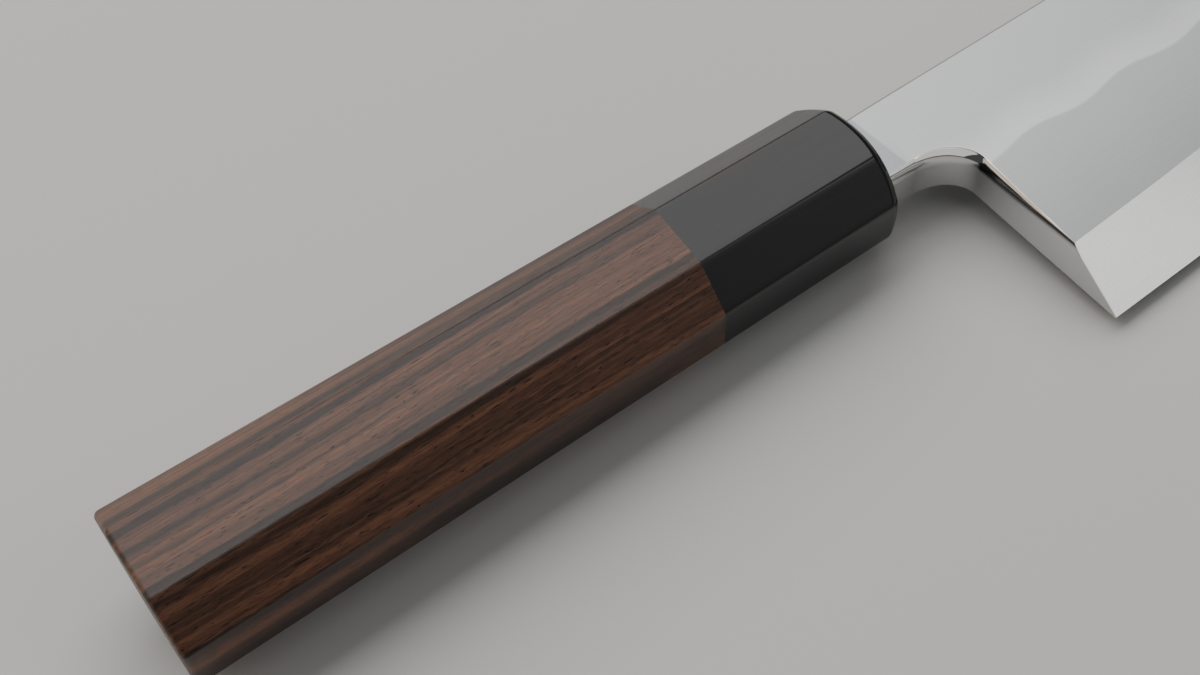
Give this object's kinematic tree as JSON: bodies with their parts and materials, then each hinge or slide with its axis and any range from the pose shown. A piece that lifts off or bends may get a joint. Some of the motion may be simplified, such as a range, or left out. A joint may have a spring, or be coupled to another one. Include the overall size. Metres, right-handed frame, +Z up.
{
  "type": "deba knife",
  "caption": "Thick single-bevel kitchen knife for fish, with a hollow-ground back, a tapered octagonal wooden handle and a domed horn ferrule over a hidden tang.",
  "frame": {"origin": "on the table, under the middle of the knife's bounding box, with the knife lying on its left side as it settles", "axes": "+X along the handle from the butt to the tip, +Y across the blade towards the spine, +Z up, out of the right face"},
  "size_m": [0.3328, 0.0604, 0.0283],
  "materials": {
    "blade_steel": "satin, with a mirror-polished choil",
    "ferrule_horn": "polished black horn",
    "handle_wood": "oiled, striped dark hardwood",
    "dowel_wood": "raw",
    "bedding_resin": "cured resin",
    "seal_resin": "cured resin"
  },
  "bodies": {
    "root": {"blade": "blade_steel", "ferrule": "ferrule_horn", "handle_body": "handle_wood", "joining_dowel": "dowel_wood", "tang_bedding": "bedding_resin", "slot_seal": "seal_resin"}
  },
  "joints": []
}
